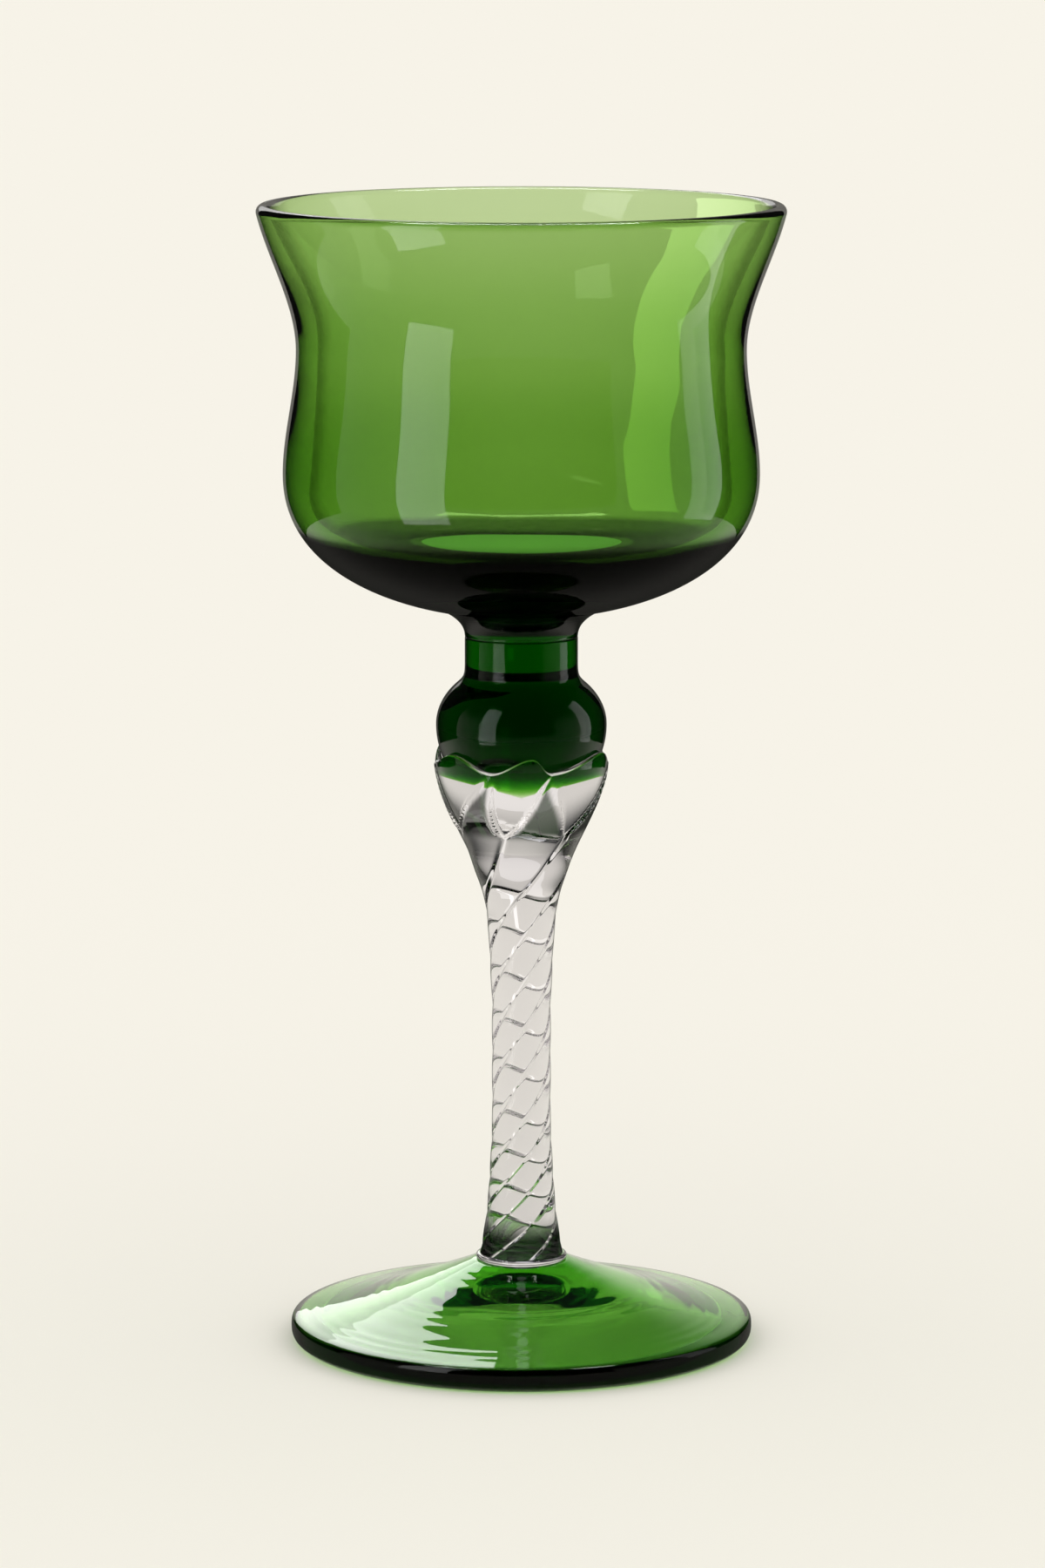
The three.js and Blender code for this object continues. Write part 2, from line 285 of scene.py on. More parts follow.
def moulded(piece, shape):
    """Moves every vertex: shape takes its azimuth, radius and height and gives new ones.

    A fourth number from shape, the share of painted shade there, is kept as a vertex attribute.
    """
    shares = []
    for vertex in piece.data.vertices:
        x, y, z = (c / MM for c in vertex.co)
        radius = math.hypot(x, y)
        azimuth, radius, z, *share = shape(math.degrees(math.atan2(x, -y)), radius, z)
        a = math.radians(azimuth)
        vertex.co = (radius * math.sin(a) * MM, -radius * math.cos(a) * MM, z * MM)
        shares += share
    if shares:
        piece.data.attributes.new("painted_shade", "FLOAT", "POINT").data.foreach_set("value", shares)
    return piece


# The flare of the stem at its two ends: share of its length, and share of the flare
BASE_FLARE = [(0, 1), (0.037, 0.79), (0.071, 0.6), (0.119, 0.4), (0.174, 0.26), (0.257, 0.1), (0.34, 0)]
TOP_FLARE = [(0.6, 0), (0.7, 0.065), (0.78, 0.127), (0.833, 0.205), (0.89, 0.365), (0.942, 0.66), (1, 1)]
STEM_LENGTH = STEM_TOP - COLLAR_TOP
CALYX_BASE_SLOPE = CALYX_BASE_OUT / CALYX_BASE_UP
BASE_FLARE_FINE = smooth_line(BASE_FLARE)
TOP_FLARE_FINE = smooth_line(TOP_FLARE, CALYX_BASE_SLOPE * STEM_LENGTH / (STEM_TOP_RADIUS - SHANK_RADIUS))

# The twist of stem and calyx: height, and degrees of turn for each millimetre there
TWIST = [
    (COLLAR_TOP, 10.8),
    (COLLAR_TOP + 0.24 * STEM_LENGTH, 9.0),
    (COLLAR_TOP + 0.37 * STEM_LENGTH, 7.3),
    (COLLAR_TOP + 0.89 * STEM_LENGTH, 7.2),
    (COLLAR_TOP + 0.955 * STEM_LENGTH, 4.2),
    (STEM_TOP + LEAF_POINT_HEIGHT, 1.75),
    (STEM_TOP + CALYX_HEIGHT, 1.6),
]


def twist_table(step=0.1):
    """Azimuth of a groove at evenly spaced heights, summed downwards from the petal tips."""
    height = STEM_TOP + CALYX_HEIGHT
    azimuth = PETAL_AZIMUTH
    table = [(height, azimuth)]
    while height > COLLAR_TOP - 1:
        azimuth -= along(TWIST, height - step / 2) * step
        height -= step
        table.append((height, azimuth))
    return table[::-1]


GROOVES = twist_table()


def groove_azimuth(z):
    """Azimuth of a groove at a height over the table."""
    low, step = GROOVES[0][0], GROOVES[1][0] - GROOVES[0][0]
    i = min(max(int((z - low) / step), 0), len(GROOVES) - 2)
    (z0, a0), (z1, a1) = GROOVES[i], GROOVES[i + 1]
    return a0 + (a1 - a0) * (z - z0) / (z1 - z0)


def from_groove(turn):
    """0 in a groove and 1 on the crest of a rib, for an angle counted from a groove."""
    share = (turn % (360 / RIBS)) / (360 / RIBS)
    return 1 - abs(1 - 2 * share)


def groove_drop(distance):
    """A broad hollow between the crests with a narrow score along its bottom."""
    hollow = HOLLOW_SHARE * (1 - distance) ** 2
    score = SCORE_SHARE * math.exp(-(distance / SCORE_WIDTH) ** 2)
    return GROOVE_DEPTH * (hollow + score)


def stem_radius(z):
    """Radius of the stem over its crests."""
    share = (z - COLLAR_TOP) / STEM_LENGTH
    if share < 0.5:
        return SHANK_RADIUS + along(BASE_FLARE_FINE, share) * (STEM_BASE_RADIUS - SHANK_RADIUS)
    return SHANK_RADIUS + along(TOP_FLARE_FINE, share) * (STEM_TOP_RADIUS - SHANK_RADIUS)


# The seven pieces

def ripple(azimuth, radius):
    """Low uneven rings left by the tool that spread the foot, from 0 at its middle and its rim."""
    a = math.radians(azimuth)
    rim_radius = FOOT_RIM[-1][-1][0]
    wander = RIPPLE_WANDER * math.sin(0.53 * radius + 0.6 * math.sin(a))
    phase = 2 * math.pi * radius / RIPPLE_LENGTH + wander
    swell = smoothstep(radius, FOOT_SEAT_RADIUS, RIPPLE_FULL_FROM)
    swell *= smoothstep(rim_radius - radius, 0, RIPPLE_FADE_AT_RIM)
    uneven = 1 + 0.5 * math.sin(3 * a + 0.3 * radius) + 0.35 * math.sin(7 * a - 0.5 * radius)
    return RIPPLE_HEIGHT * swell * uneven * math.sin(phase + 0.5 * math.sin(2 * a))


def make_foot():
    """A low cone with a rounded rim, hollow underneath, that stands on a ground ring."""
    seat = (FOOT_SEAT_RADIUS, FOOT_TOP)
    edge = FOOT_RIM[-1][-1]
    reach = (edge[0] - seat[0]) / 3
    rise = math.tan(math.radians(FOOT_RIM_SLOPE))
    fall = math.tan(math.radians(FOOT_SEAT_SLOPE))
    hollow = (
        (0, FOOT_HOLLOW_DEPTH), (RING_INSIDE * 0.4, FOOT_HOLLOW_DEPTH),
        (RING_INSIDE * 0.8, FOOT_HOLLOW_DEPTH * 0.25), (RING_INSIDE, 0),
    )
    outline = [hollow[0]] + bezier(*hollow, 40)
    outline += line((RING_INSIDE, 0), (RING_OUTSIDE, 0), 4)
    for curve in FOOT_RIM:
        outline += bezier(*curve, 8)
    outline += bezier(
        edge, (edge[0] - reach, edge[1] + reach * rise),
        (seat[0] + reach, seat[1] - reach * fall), seat, 100,
    )
    outline += line(seat, (0, FOOT_TOP), 6)

    def rippled(azimuth, radius, z):
        hollow_z = FOOT_HOLLOW_DEPTH * (1 - radius / RING_INSIDE)
        on_top = z > edge[1] + 0.1 and z > hollow_z + FOOT_THINNEST
        return azimuth, radius, z + (ripple(azimuth, radius) if on_top else 0)

    # Painted shade on the band of the foot's rim, above its bottom edge
    def painted_shade_share(azimuth, radius, z):
        rim = smoothstep(z, *FOOT_RIM_DARK_BELOW) * smoothstep(z, *FOOT_RIM_DARK_ABOVE)
        return FOOT_RIM_PAINTED_SHADE * rim * (radius > RING_OUTSIDE)

    foot = moulded(spun("glass_foot", outline, FOOT_COLUMNS), rippled)
    return smoothed(marked(foot, "painted_shade", painted_shade_share), 40)


def make_collar():
    """A thin flat ring of clear glass with a round edge."""
    low = FOOT_TOP + JOINT_GAP
    round_edge = (COLLAR_TOP - low) / 2
    middle = (COLLAR_RADIUS - round_edge, low + round_edge)
    outline = [(0, low)] + line((0, low), (middle[0], low), 6)
    outline += arc(middle, round_edge, -90, 90, 14)[1:]
    outline += line((middle[0], COLLAR_TOP), (0, COLLAR_TOP), 6)
    return smoothed(spun("glass_foot_collar", outline, KNOP_COLUMNS), 32)


def make_stem():
    """The spun blank is a plain rod; twisted() gives every row its ribs, flare and turn."""
    low = COLLAR_TOP + JOINT_GAP
    blank = STEM_BLANK_RADIUS
    outline = [(0, low)] + line((0, low), (1, low), 1) + line((1, low), (blank, low), 3)
    outline += line((blank, low), (blank, STEM_TOP), STEM_ROWS)
    outline += line((blank, STEM_TOP), (1, STEM_TOP), 3) + [(0, STEM_TOP)]

    def twisted(azimuth, radius, z):
        distance = from_groove(azimuth)
        outer = stem_radius(z) - groove_drop(distance)
        # Painted shade low on the stem, on the ribs but not in the narrow scores
        dark = smoothstep(z, *STEM_DARK_BELOW) * smoothstep(distance, *STEM_DARK_BESIDE_SCORE)
        return azimuth + groove_azimuth(z), outer * radius / blank, z, STEM_PAINTED_SHADE * dark

    return smoothed(moulded(spun("glass_stem", outline, RIBS * RIB_COLUMNS), twisted), 40)


def calyx_outside():
    """The calyx from the side, as (height, radius) counted from its base."""
    start = (STEM_TOP_RADIUS, 0)
    curve = [start] + bezier(
        start,
        (STEM_TOP_RADIUS + CALYX_HEIGHT * CALYX_BASE_OUT, CALYX_HEIGHT * CALYX_BASE_UP),
        (CALYX_RADIUS, CALYX_HEIGHT * CALYX_TOP_UP),
        (CALYX_RADIUS - CALYX_DRAWN_IN, CALYX_HEIGHT),
        60,
    )
    return [(height, radius) for radius, height in curve]


CALYX_OUTSIDE = calyx_outside()
BALL_CORNER_RADIUS = math.sqrt(BALL_RADIUS ** 2 - (BALL_CENTRE_Z - BALL_CORNER_Z) ** 2)


def under_ball(radius):
    """Height of the ball's underside: a low blunt point, then the ball from its corner up."""
    if radius < BALL_CORNER_RADIUS:
        rise = BALL_CORNER_Z - BALL_POINT_Z
        return BALL_POINT_Z + rise * (radius / BALL_CORNER_RADIUS) ** BALL_BOTTOM_ROUNDNESS
    return BALL_CENTRE_Z - math.sqrt(max(BALL_RADIUS ** 2 - radius ** 2, 0))


def cup_radius(z):
    """Radius of the calyx's cup, from the ball's corner up."""
    return math.sqrt(BALL_RADIUS ** 2 - (BALL_CENTRE_Z - max(z, BALL_CORNER_Z)) ** 2) + CUP_GAP


# The front valleys of the rim stand nearer to the front petal than the others do
VALLEY_SHIFT = [(-30, 0), (0, 0), (30, -12), (60, 0), (300, 0), (330, 7), (360, 0)]


def petal_rim(distance):
    """Height of the petals' rim above the calyx's base, from the tip over a groove to the valley."""
    return CALYX_HEIGHT - CALYX_LIP - PETAL_SCALLOP_DEPTH * 0.5 * (1 - math.cos(math.pi * distance))


def valley_turn(turn, height):
    """Azimuth of an angle counted from a groove, at a height above the calyx's base."""
    shift = along(VALLEY_SHIFT, turn % 360) * smoothstep(height, 3, 13)
    return turn + groove_azimuth(STEM_TOP + height) + shift


def rim_table():
    """The petals' rim as (azimuth, height above the calyx's base), a degree at a time."""
    rims = [(turn, petal_rim(from_groove(turn))) for turn in range(360)]
    return sorted((valley_turn(turn, rim) % 360, rim) for turn, rim in rims)


RIM_TABLE = rim_table()


def rim_z(azimuth):
    """Height of the petals' rim over the table, at an azimuth."""
    return STEM_TOP + along(RIM_TABLE, azimuth % 360)


def make_calyx():
    """The spun blank has a thick straight wall; petalled() gives every row its real place."""
    low = STEM_TOP + JOINT_GAP
    top = STEM_TOP + CALYX_HEIGHT
    blank, cup_blank = CALYX_BLANK_RADIUS, CUP_BLANK_RADIUS
    wall = blank - cup_blank
    between_walls = (blank + cup_blank) / 2
    lip_rows = 8
    outline = [(0, low)] + line((0, low), (1, low), 1) + line((1, low), (blank, low), 3)
    outline += line((blank, low), (blank, top), CALYX_ROWS)
    outline += [(blank - wall * i / lip_rows, top + 1) for i in range(1, lip_rows)]
    outline += [(cup_blank, top)] + line((cup_blank, top), (cup_blank, BALL_CORNER_Z), 18)
    outline += line((cup_blank, BALL_CORNER_Z), (1, BALL_CORNER_Z), 24) + [(0, BALL_CORNER_Z)]
    leaf_height = CALYX_HEIGHT - PETAL_SCALLOP_DEPTH - LEAF_POINT_HEIGHT

    def petalled(turn, radius, z):
        distance = from_groove(turn)
        rim = petal_rim(distance)
        on_lip = z > top + 0.5
        on_base = z < low + 0.001
        on_outside = radius > between_walls
        if on_lip:
            height = rim
        elif on_outside or on_base:
            height = (z - STEM_TOP) / CALYX_HEIGHT * rim
        else:
            corner = BALL_CORNER_Z - STEM_TOP
            height = corner + (z - BALL_CORNER_Z) / (top - BALL_CORNER_Z) * (rim - corner)
        inner = cup_radius(STEM_TOP + height)
        rising = min(max((height - LEAF_POINT_HEIGHT) / leaf_height, 0), 1)
        inside_leaf = rising ** LEAF_FULLNESS - distance
        closing = 1 - LEAF_THINNING * rising
        panel = LEAF_RECESS * smoothstep(inside_leaf, 0, LEAF_RECESS_EDGE) * closing
        ridge = LEAF_RIDGE * math.exp(-((inside_leaf + LEAF_RIDGE_PLACE) / LEAF_RIDGE_WIDTH) ** 2) * closing
        ridge *= smoothstep(height, LEAF_POINT_HEIGHT, LEAF_POINT_HEIGHT + LEAF_RIDGE_START)
        outer = along(CALYX_OUTSIDE, height) - max(groove_drop(distance) * (1 - rising), panel) + ridge
        azimuth = valley_turn(turn, height)
        if on_lip:
            angle = math.pi * (blank - radius) / wall
            middle, half = (outer + inner) / 2, (outer - inner) / 2
            lip_z = STEM_TOP + rim + CALYX_LIP * math.sin(angle)
            return azimuth, middle + half * math.cos(angle), lip_z, 0
        if on_base:
            return azimuth, outer * radius / blank, z, 0
        if on_outside:
            # Painted shade on the petals outside the leaf, from a little above the calyx's base
            dark = smoothstep(-inside_leaf, *CALYX_DARK_OUTSIDE_LEAF) * smoothstep(height, *CALYX_DARK_ABOVE)
            return azimuth, outer, STEM_TOP + height, CALYX_PAINTED_SHADE * dark
        if z < BALL_CORNER_Z + 0.001:
            across = inner * radius / cup_blank
            return azimuth, across, under_ball(across) - CUP_GAP, 0
        return azimuth, inner, STEM_TOP + height, 0

    calyx = moulded(spun("glass_calyx", outline, RIBS * RIB_COLUMNS), petalled)
    marked(calyx, "fused", lambda azimuth, radius, z: float(z > under_ball(radius) - 0.15))
    return smoothed(calyx, 50)


def make_knop():
    """A ball, flatter above its middle, that runs up into a short round neck."""
    ball = (0, BALL_CENTRE_Z)
    corner = math.degrees(math.asin((BALL_CORNER_Z - BALL_CENTRE_Z) / BALL_RADIUS))
    outline = [(r, under_ball(r)) for r in (BALL_CORNER_RADIUS * i / 30 for i in range(30))]
    outline += arc(ball, BALL_RADIUS, corner, 0, 60)
    outline += arc(ball, BALL_RADIUS, 0, BALL_SHOULDER_ANGLE, 30, BALL_UPPER_HEIGHT)[1:]
    r, z = outline[-1]
    outline += bezier((r, z), (r - 1.1, z + 1.0), (NECK_RADIUS, z + 1.4), (NECK_RADIUS, z + 3.8), 16)
    outline += line(outline[-1], (NECK_RADIUS, NECK_TOP - NECK_ROUND), 6)
    outline += arc((NECK_RADIUS - NECK_ROUND, NECK_TOP - NECK_ROUND), NECK_ROUND, 0, 90, 5)[1:]
    outline += line(outline[-1], (0, NECK_TOP), 6)
    knop = spun("glass_knop", outline, KNOP_COLUMNS)
    marked(knop, "fused", lambda azimuth, radius, z: float(z < rim_z(azimuth) - 0.1))
    return smoothed(knop, 40)


def make_wafer():
    """A disc that flares from the neck out to the bottom of the bowl."""
    low = NECK_TOP + JOINT_GAP
    spread = WAFER_RADIUS - NECK_RADIUS
    height = WAFER_TOP - NECK_TOP
    outline = [(0, low)] + line((0, low), (NECK_RADIUS - NECK_ROUND, low), 6)
    outline += arc((NECK_RADIUS - NECK_ROUND, low + NECK_ROUND), NECK_ROUND, -90, 0, 5)[1:]
    outline += bezier(
        outline[-1],
        (NECK_RADIUS + 0.1, NECK_TOP + height * 0.45),
        (NECK_RADIUS + spread * 0.4, NECK_TOP + height * 0.75),
        (WAFER_RADIUS, WAFER_TOP),
        24,
    )
    outline += line(outline[-1], (0, WAFER_TOP), 6)
    return smoothed(spun("glass_bowl_wafer", outline, KNOP_COLUMNS), 60)


def make_bowl():
    """Up the outside over belly, waist and lip, over the bead and down the inside to the floor."""
    low = WAFER_TOP + JOINT_GAP
    spread = BELLY_RADIUS - WAFER_RADIUS
    belly_height = BELLY_Z - WAFER_TOP
    bead = (LIP_RADIUS - RIM_BEAD_RADIUS, RIM_TOP - RIM_BEAD_RADIUS)
    flare = math.tan(math.radians(LIP_FLARE))
    lip = (
        bead[0] + RIM_BEAD_RADIUS * math.cos(math.radians(LIP_FLARE)),
        bead[1] - RIM_BEAD_RADIUS * math.sin(math.radians(LIP_FLARE)),
    )
    lower = (WAIST_Z - BELLY_Z) / 3
    upper = (lip[1] - WAIST_Z) / 3
    inside = (bead[0] - RIM_BEAD_RADIUS, bead[1])
    waist_in = WAIST_RADIUS - WAIST_WALL
    belly_in = BELLY_RADIUS - BELLY_WALL
    corner = FLOOR_CORNER_Z
    inner_third = (WAIST_Z - corner) / 3
    disc = (FLOOR_DISC_RADIUS, BOWL_FLOOR_Z)
    outline = [(0, low)] + line((0, low), (WAFER_RADIUS, low), 6)
    outline += bezier(
        (WAFER_RADIUS, low),
        (WAFER_RADIUS + spread * 0.226, low + belly_height * 0.042),
        (BELLY_RADIUS, low + belly_height * 0.255),
        (BELLY_RADIUS, BELLY_Z),
        48,
    )
    outline += bezier(
        (BELLY_RADIUS, BELLY_Z), (BELLY_RADIUS, BELLY_Z + lower),
        (WAIST_RADIUS, WAIST_Z - lower), (WAIST_RADIUS, WAIST_Z), 24,
    )
    outline += bezier(
        (WAIST_RADIUS, WAIST_Z), (WAIST_RADIUS, WAIST_Z + upper),
        (lip[0] - upper * flare, lip[1] - upper), lip, 28,
    )
    outline += arc(bead, RIM_BEAD_RADIUS, -LIP_FLARE, 180, 20)[1:]
    outline += bezier(
        inside, (inside[0] - upper * flare, inside[1] - upper),
        (waist_in, WAIST_Z + upper), (waist_in, WAIST_Z), 28,
    )
    outline += bezier(
        (waist_in, WAIST_Z), (waist_in, WAIST_Z - inner_third),
        (belly_in, corner + inner_third), (belly_in, corner), 24,
    )
    outline += bezier(
        (belly_in, corner), (belly_in, BOWL_FLOOR_Z + 0.9),
        (disc[0] + 5.2, disc[1] + 0.05), (disc[0], disc[1] + 0.02), 72,
    )
    outline += line(disc, (0, BOWL_FLOOR_Z), 6)

    # Painted shade on the lower outside of the bowl, and in a ring round the floor's disc inside
    def painted_shade_share(azimuth, radius, z):
        wall_middle_z = BOWL_FLOOR_Z + 0.62 * (radius - 31)
        outside = radius > BELLY_RADIUS - BELLY_WALL / 2 or z < BOWL_FLOOR_Z - 0.1 or z < wall_middle_z
        if outside:
            return BOWL_PAINTED_SHADE * smoothstep(z, *BOWL_DARK_BELOW)
        disc_edge = smoothstep(radius, *DISC_EDGE_DARK_FROM) * smoothstep(radius, *DISC_EDGE_DARK_TO)
        return DISC_EDGE_PAINTED_SHADE * disc_edge * (z < DISC_EDGE_TOP)

    return smoothed(marked(spun("glass_bowl", outline, BOWL_COLUMNS), "painted_shade", painted_shade_share), 40)


# The finishes

class Value:
    """A node's output, with Python's operators as Math nodes."""

    def __init__(self, finish, socket):
        self.finish, self.socket = finish, socket

    def maths(self, operation, *values):
        return self.finish.node("ShaderNodeMath", {"operation": operation}, dict(enumerate(values)))

    def __add__(self, other):
        return self.maths("ADD", self, other)

    __radd__ = __add__

    def __sub__(self, other):
        return self.maths("SUBTRACT", self, other)

    def __rsub__(self, other):
        return self.maths("SUBTRACT", other, self)

    def __mul__(self, other):
        return self.maths("MULTIPLY", self, other)

    __rmul__ = __mul__

    def __pow__(self, power):
        return self.maths("POWER", self, power)

    def __lt__(self, other):
        return self.maths("LESS_THAN", self, other)

    def __gt__(self, other):
        return self.maths("GREATER_THAN", self, other)

    def __abs__(self):
        return self.maths("ABSOLUTE", self)


class Finish:
    """A node tree, and the one way to put a node into it."""

    def __init__(self, tree):
        self.tree = tree
        tree.nodes.clear()

    def node(self, kind, settings=None, sockets=None, output=0):
        """Adds a node, sets it up, fills or links its sockets and gives one of its outputs."""
        node = self.tree.nodes.new(kind)
        for name, value in (settings or {}).items():
            setattr(node, name, value)
        for name, value in (sockets or {}).items():
            if isinstance(value, Value):
                self.tree.links.new(value.socket, node.inputs[name])
            else:
                node.inputs[name].default_value = value
        return Value(self, node.outputs[output]) if len(node.outputs) else None

    def split(self, vector):
        """The three numbers of a vector."""
        parts = self.node("ShaderNodeSeparateXYZ", {}, {0: vector})
        return [Value(self, socket) for socket in parts.socket.node.outputs]

    def eased(self, value, start, end, most=1):
        """0 up to start, most from end on, and a smooth rise between them."""
        return self.node(
            "ShaderNodeMapRange", {"interpolation_type": "SMOOTHSTEP"},
            {"Value": value, "From Min": start, "From Max": end, "To Min": 0, "To Max": most},
        )

    def tinted(self, share, plain, tint):
        """The plain colour turned towards the tint by a share."""
        return self.node("ShaderNodeMix", {"data_type": "RGBA"}, {0: share, 6: plain, 7: tint}, 2)

    def covered(self, share, below, above):
        """One shader that covers another by a share."""
        return self.node("ShaderNodeMixShader", {}, {0: share, 1: below, 2: above})

    def see_through(self, colour):
        return self.node("ShaderNodeBsdfTransparent", {}, {"Color": colour})

    def marking(self, name):
        """The number that marked() or moulded() gave the vertices."""
        return self.node("ShaderNodeAttribute", {"attribute_name": name}, output="Fac")


def new_finish(name):
    material = bpy.data.materials.new(name)
    material.use_nodes = True
    return material, Finish(material.node_tree)


def paper(name, colour):
    """Dead flat paper, for the floor and the cards."""
    material, finish = new_finish(name)
    flat = finish.node("ShaderNodeBsdfDiffuse", {}, {"Color": colour, "Roughness": 0})
    finish.node("ShaderNodeOutputMaterial", {}, {"Surface": flat})
    return material


WHITE = (1, 1, 1, 1)

# Colour of the glass and how dense it is, so that a thick place is darker than a thin one
GREEN = (0.353, 0.735, 0.0, 1)
BOWL_GREEN = (0.385, 0.66, 0.0, 1)
CLEAR = (0.42, 0.38, 0.46, 1)
GREEN_DENSITY = 380
DEEP_GREEN_DENSITY = 620
FOOT_GREEN_DENSITY = 240
CLEAR_DENSITY = 40
CALYX_DENSITY = 22
GLASS_INDEX = 1.5

# Tint of the glass's shadow, the painted shade laid on its edges and thick glass, and the green
# of the painted bright reflection on the bowl's floor
GREEN_SHADE = (0.6, 0.72, 0.52, 1)
CLEAR_SHADE = (0.92, 0.91, 0.9, 1)
PAINTED_SHADE_TINT = (0.015, 0.05, 0.012, 1)
PAINTED_REFLECTION_GREEN = (0.5, 0.95, 0.35, 1)

# Hand polish: faint smears in gloss and tint, and a slow swell of the surface
SMEAR_SCALE = 70
SMEAR_TINT = (0.5, 0.55, 0.5, 1)
SMEAR_SHARE = 0.04
POLISHED_ROUGHNESS = 0.01
SMEARED_ROUGHNESS = 0.03
GROUND_ROUGHNESS = 0.4
SWELL_SCALE = 55
SWELL_STRENGTH = 0.25
SWELL_DEPTH = 0.0006
SHEEN = 0.25
GLOSS = 0.5

# Painted shade at the glass's edges and painted reflection on the bowl's floor: from and up to
# which turn away from the eye each comes in, and how far it goes
PAINTED_EDGE_SHADE = (0.78, 0.98, 0.9)
PAINTED_REFLECTION_TURN = (0.35, 0.7, 0.85)

# How near to a flat face a point is taken to lie on it
JOINT_HAIR = 0.002
FLOOR_HAIR = 0.01
RING_HAIR = 0.03


def glass(name, tint, density, joints, shade=GREEN_SHADE, edge=PAINTED_EDGE_SHADE, sheen=SHEEN, gloss=GLOSS,
          painted_shade=False, ground_ring=False, cup=False, disc=False):
    """Polished glass. joints lists (height, radius) of the flat faces fused to the next piece.

    edge says from and up to which turn away from the eye the glass darkens with painted shade, and
    how far. The flag before ground_ring is for the pieces marked with painted shade where light
    enters thick glass; cup for those where the ball is fused to its cup. ground_ring is for the
    foot's ground ring, and disc paints a bright green reflection on the bowl's floor.
    """
    material, finish = new_finish(name)
    place = finish.node("ShaderNodeTexCoord", output="Object")
    smear = finish.node(
        "ShaderNodeTexNoise", {},
        {"Vector": place, "Scale": SMEAR_SCALE, "Detail": 3, "Roughness": 0.6}, "Fac",
    )
    swell = finish.node(
        "ShaderNodeTexNoise", {}, {"Vector": place, "Scale": SWELL_SCALE, "Detail": 1}, "Fac"
    )
    x, y, z = finish.split(place)
    from_axis = (x * x + y * y) ** 0.5
    roughness = (smear - 0.5) * SMEARED_ROUGHNESS + POLISHED_ROUGHNESS
    if ground_ring:
        on_ring = (z < RING_HAIR * MM) * (from_axis > RING_INSIDE * MM)
        roughness = roughness + on_ring * GROUND_ROUGHNESS
    bump = finish.node(
        "ShaderNodeBump", {}, {"Strength": SWELL_STRENGTH, "Distance": SWELL_DEPTH, "Height": swell}
    )
    polished = finish.node(
        "ShaderNodeBsdfPrincipled", {},
        {
            "Base Color": finish.tinted(smear * SMEAR_SHARE, WHITE, SMEAR_TINT),
            "Roughness": roughness,
            "IOR": GLASS_INDEX,
            "Specular Tint": (sheen, sheen, sheen, 1),
            "Specular IOR Level": gloss,
            "Transmission Weight": 1,
            "Normal": bump,
        },
    )
    # Painted shade: where the face turns away from the eye the glass turns to a dark see-through coat
    facing = finish.node("ShaderNodeLayerWeight", {}, {"Blend": 0.5}, "Facing")
    dark = finish.eased(facing, *edge)
    # Painted shade: on marked pieces the face where light enters is covered further with the dark coat
    if painted_shade:
        leaving = finish.node("ShaderNodeNewGeometry", output="Backfacing")
        dark = 1 - (1 - dark) * (1 - finish.marking("painted_shade") * (1 - leaving))
    surface = finish.covered(dark, polished, finish.see_through(PAINTED_SHADE_TINT))
    # Painted reflection: seen at a glancing turn, the bowl's flat floor becomes bright green lit paper
    if disc:
        on_disc = (abs(z - BOWL_FLOOR_Z * MM) < FLOOR_HAIR * MM) * (from_axis < FLOOR_DISC_RADIUS * MM)
        painted_reflection = finish.node("ShaderNodeBsdfDiffuse", {}, {"Color": PAINTED_REFLECTION_GREEN})
        surface = finish.covered(on_disc * finish.eased(facing, *PAINTED_REFLECTION_TURN), surface, painted_reflection)
    fused = [finish.marking("fused")] if cup else []
    for height, radius in joints:
        fused.append((abs(z - height * MM) < JOINT_HAIR * MM) * (from_axis < radius * MM))
    if fused:
        surface = finish.covered(sum(fused[1:], fused[0]), surface, finish.see_through(WHITE))
    lamplight = finish.node("ShaderNodeLightPath", output="Is Shadow Ray")
    surface = finish.covered(lamplight, surface, finish.see_through(shade))
    inside = finish.node("ShaderNodeVolumeAbsorption", {}, {"Color": tint, "Density": density})
    finish.node("ShaderNodeOutputMaterial", {}, {"Surface": surface, "Volume": inside})
    return material


# Radius of each flat face where two pieces are fused
COLLAR_JOINT = 6.9
CALYX_JOINT = STEM_TOP_RADIUS
NECK_JOINT = NECK_RADIUS - NECK_ROUND
WAFER_JOINT = WAFER_RADIUS

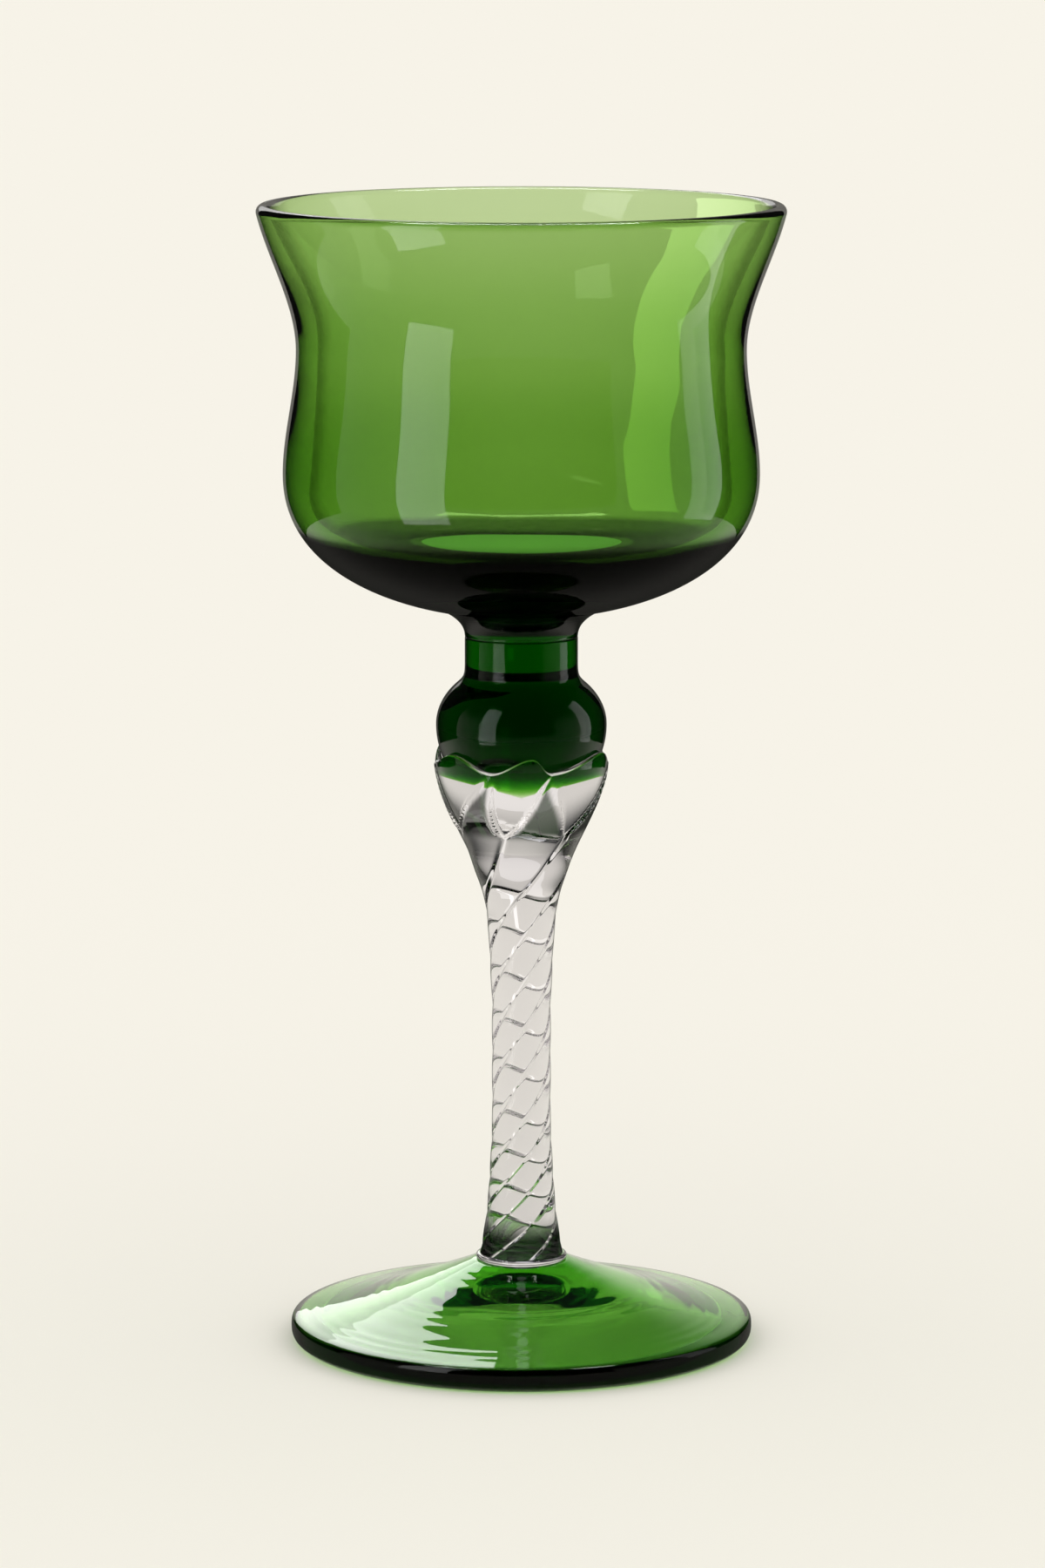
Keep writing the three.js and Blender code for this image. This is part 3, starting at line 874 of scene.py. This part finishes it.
# The edge numbers set the painted shade at each piece's edges, nearly black on knop and wafer
# Maker, CAD node, slot, tint, density, joints and what else its finish needs
PIECES = [
    (make_foot, "foot", "green_glass", GREEN, FOOT_GREEN_DENSITY, [],
     {"ground_ring": True, "sheen": 1, "gloss": 0.8, "painted_shade": True, "edge": (0.9, 1, 0.4)}),
    (make_collar, "foot_collar", "clear_glass", CLEAR, CLEAR_DENSITY,
     [(COLLAR_TOP, COLLAR_JOINT)],
     {"shade": CLEAR_SHADE}),
    (make_stem, "stem", "clear_glass", CLEAR, CLEAR_DENSITY,
     [(COLLAR_TOP + JOINT_GAP, COLLAR_JOINT), (STEM_TOP, CALYX_JOINT)],
     {"shade": CLEAR_SHADE, "painted_shade": True, "sheen": 0.15, "edge": (0.62, 0.95, 0.9)}),
    (make_calyx, "calyx", "clear_glass", CLEAR, CALYX_DENSITY,
     [(STEM_TOP + JOINT_GAP, CALYX_JOINT)],
     {"shade": CLEAR_SHADE, "cup": True, "painted_shade": True, "edge": (0.62, 0.95, 0.9)}),
    (make_knop, "knop", "green_glass", GREEN, DEEP_GREEN_DENSITY,
     [(NECK_TOP, NECK_JOINT)],
     {"cup": True, "sheen": 0.12, "edge": (0.4, 0.92, 0.93)}),
    (make_wafer, "bowl_wafer", "green_glass", GREEN, DEEP_GREEN_DENSITY,
     [(NECK_TOP + JOINT_GAP, NECK_JOINT), (WAFER_TOP, WAFER_JOINT)],
     {"sheen": 0.12, "edge": (0.3, 0.8, 0.96)}),
    (make_bowl, "bowl", "green_glass", BOWL_GREEN, GREEN_DENSITY,
     [(WAFER_TOP + JOINT_GAP, WAFER_JOINT)],
     {"painted_shade": True, "disc": True, "edge": (0.6, 0.92, 0.75)}),
]

for make, node, slot, tint, density, joints, more in PIECES:
    piece = make()
    piece.data.materials.clear()
    piece.data.materials.append(glass(piece.name + "_finish", tint, density, joints, **more))
    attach(piece, "root")
    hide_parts(node)


# The floor, the sky, the lamps and the cards; lengths here are in metres

CREAM = (0.930, 0.897, 0.807, 1)
SKY_DARK = (0.03, 0.032, 0.035, 1)
SKY_TURN = (0.2, 0.57)
CARD_BLACK = (0.02, 0.02, 0.02, 1)
FLOOR_SIZE = 60
FLOOR_Z = -0.00001


def make_floor():
    bpy.ops.object.select_all(action="DESELECT")
    bpy.ops.mesh.primitive_plane_add(size=FLOOR_SIZE, location=(0, 0, FLOOR_Z))
    floor = bpy.context.object
    floor.name = "floor"
    floor.data.materials.append(paper("floor_paper", CREAM))


def make_sky():
    """Plain white light on the floor; cream low down and dark overhead for the eye and the glass."""
    world = bpy.data.worlds.new("studio")
    bpy.context.scene.world = world
    world.use_nodes = True
    finish = Finish(world.node_tree)
    up = finish.split(finish.node("ShaderNodeTexCoord", output="Generated"))[2]
    shade = finish.tinted(finish.eased(up, *SKY_TURN), CREAM, SKY_DARK)
    seen = finish.node("ShaderNodeLightPath", output="Is Camera Ray")
    for ray in ("Is Glossy Ray", "Is Transmission Ray"):
        seen = seen + finish.node("ShaderNodeLightPath", output=ray)
    plain = finish.node("ShaderNodeBackground", {}, {"Color": WHITE, "Strength": 1})
    backdrop = finish.node("ShaderNodeBackground", {}, {"Color": shade, "Strength": 1})
    finish.node("ShaderNodeOutputWorld", {}, {"Surface": finish.covered(seen, plain, backdrop)})


def soft_lamp(name, place, turn, width, height, radiance, through=False):
    """A flat soft light that only the glass shows.

    It is seen in the glass's reflections, or with through in what the glass lets through.
    """
    bpy.ops.object.light_add(type="AREA", location=place, rotation=turn)
    lamp = bpy.context.object
    lamp.name = name
    lamp.data.shape = "RECTANGLE"
    lamp.data.size, lamp.data.size_y = width, height
    lamp.data.energy = radiance * math.pi * width * height
    lamp.visible_camera = lamp.visible_diffuse = False
    lamp.visible_transmission = through
    lamp.visible_glossy = not through


def upright_lamp(name, azimuth, distance, low, high, width, radiance, through=False):
    """A soft lamp that stands between two heights and faces the goblet's axis."""
    a = math.radians(azimuth)
    place = (distance * math.sin(a), -distance * math.cos(a), (low + high) / 2)
    soft_lamp(name, place, (math.radians(90), 0, a), width, high - low, radiance, through)


def dark_card(name, start, end, low, high):
    """An upright black card between two places; only the glass's reflections show it."""
    bpy.ops.object.select_all(action="DESELECT")
    middle = ((start[0] + end[0]) / 2, (start[1] + end[1]) / 2, (low + high) / 2)
    turn = math.atan2(end[1] - start[1], end[0] - start[0])
    bpy.ops.mesh.primitive_plane_add(size=1, location=middle, rotation=(math.radians(90), 0, turn))
    card = bpy.context.object
    card.name = name
    card.scale = (math.dist(start, end), high - low, 1)
    card.data.materials.append(paper(name + "_paper", CARD_BLACK))
    card.visible_camera = card.visible_diffuse = card.visible_shadow = False
    card.visible_transmission = False


make_floor()
make_sky()

# Name, azimuth, distance, lowest and highest point, width, radiance and if it shines through
for lamp in (
    ("window_left", -46, 0.30, 0.0, 0.42, 0.13, 8.0, False),
    ("window_right", 96, 0.36, 0.0, 0.42, 0.14, 2.4, False),
    ("window_behind", 192, 1.6, 0.35, 0.75, 0.55, 2.4, False),
    ("window_behind_high", 192, 1.6, 0.75, 1.35, 0.55, 4.0, False),
    ("window_strip", 180, 0.9, 0.52, 1.35, 0.36, 0.8, True),
    ("window_low", 180, 1.6, 0.2, 0.52, 1.2, 0.22, True),
    ("window_band", 172.8, 0.8, 0.0, 0.2, 0.06, 0.45, True),
):
    upright_lamp(*lamp)
for side, name in ((-1, "left"), (1, "right")):
    dark_card("card_beside_" + name, (side * 0.19, 0.4), (side * 0.45, 0.05), 0, 0.5)
dark_card("card_front", (-0.6, -0.6), (0.6, -0.6), 0, 0.8)

# From straight above it draws the light line in the bowl's inner corner
soft_lamp("window_above", (0, 0.12, 0.9), (0, 0, 0), 0.7, 0.2, 22)


# The camera, at the photograph's place

CAMERA_PLACE = (0.0002, -1.08, 0.276)
CAMERA_PITCH = 9.31
CAMERA_LENS = 144.02
SENSOR_WIDTH = 36

bpy.ops.object.camera_add(location=CAMERA_PLACE, rotation=(math.radians(90 - CAMERA_PITCH), 0, 0))
camera = bpy.context.object
camera.data.lens = CAMERA_LENS
camera.data.sensor_width = SENSOR_WIDTH
bpy.context.scene.camera = camera
bpy.context.scene.view_settings.view_transform = "Standard"

# Light crosses many faces in a goblet before it reaches the eye
bpy.context.scene.cycles.max_bounces = 24
bpy.context.scene.cycles.transmission_bounces = 24
bpy.context.scene.cycles.glossy_bounces = 12
